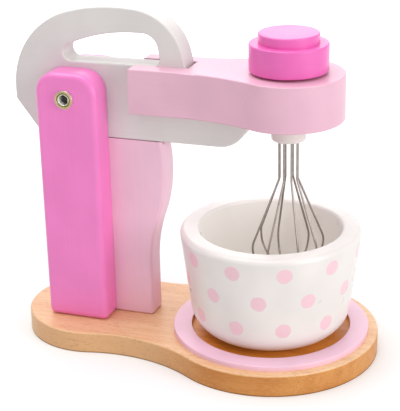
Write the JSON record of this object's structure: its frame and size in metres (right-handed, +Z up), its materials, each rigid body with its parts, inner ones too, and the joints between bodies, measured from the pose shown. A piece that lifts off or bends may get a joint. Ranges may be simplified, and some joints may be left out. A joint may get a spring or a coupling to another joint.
{
  "type": "toy stand mixer",
  "caption": "Wooden play-kitchen stand mixer: a head that tilts up on a bolt between posts, a knob-turned balloon whisk and a lift-out dotted bowl in a ring on a waisted base.",
  "frame": {"origin": "on the floor, at the centre of the base's large round end, which is also the bowl's centre", "axes": "+X along the base towards the bowl end, +Y towards the side of the pivot's nut, +Z up"},
  "size_m": [0.2554, 0.1488, 0.2368],
  "materials": {
    "beech": "clear satin lacquer over fine beech grain",
    "deep_pink": "satin deep pink paint on wood",
    "pale_pink": "satin pale pink paint on wood",
    "soft_white": "satin off-white paint on wood",
    "dotted_white": "satin off-white paint with pale pink dots on the outside",
    "hub_cream": "satin cream plastic",
    "whisk_wire": "drawn steel wire, satin",
    "yellow_zinc": "yellow zinc plated steel, glossy",
    "plain_steel": "turned steel, satin",
    "washer_nylon": "natural nylon"
  },
  "bodies": {
    "base": {"base_board": "beech", "bowl_ring": "pale_pink", "left_post": "deep_pink", "right_post": "deep_pink", "column": "pale_pink", "column_dowels": "beech", "base_screws": "yellow_zinc", "pivot_bolt": "yellow_zinc", "pivot_nut": "yellow_zinc"},
    "head": {"head_board": "soft_white", "mixer_arm": "pale_pink", "arm_dowels": "beech"},
    "spinner": {"knob_disc": "deep_pink", "knob_cap": "deep_pink", "drive_shaft": "plain_steel", "knob_washer": "washer_nylon", "hub_washer": "washer_nylon", "whisk_hub": "hub_cream", "whisk_loop_1": "whisk_wire", "whisk_loop_2": "whisk_wire", "whisk_loop_3": "whisk_wire", "whisk_loop_4": "whisk_wire"},
    "bowl": {"bowl": "dotted_white"}
  },
  "joints": [
    {"name": "head_tilt", "type": "hinge", "parent": "base", "child": "head", "pos_m": [-0.1348, 0, 0.177], "axis": [0, -1, 0], "range_deg": [0, 45]},
    {"name": "whisk_spin", "type": "hinge", "parent": "head", "child": "spinner", "pos_m": [0.0125, 0, 0.2], "axis": [0, 0, 1], "continuous": true},
    {"name": "bowl_lift", "type": "slide", "parent": "base", "child": "bowl", "axis": [0, 0, 1], "range_m": [0, 0.02]}
  ]
}
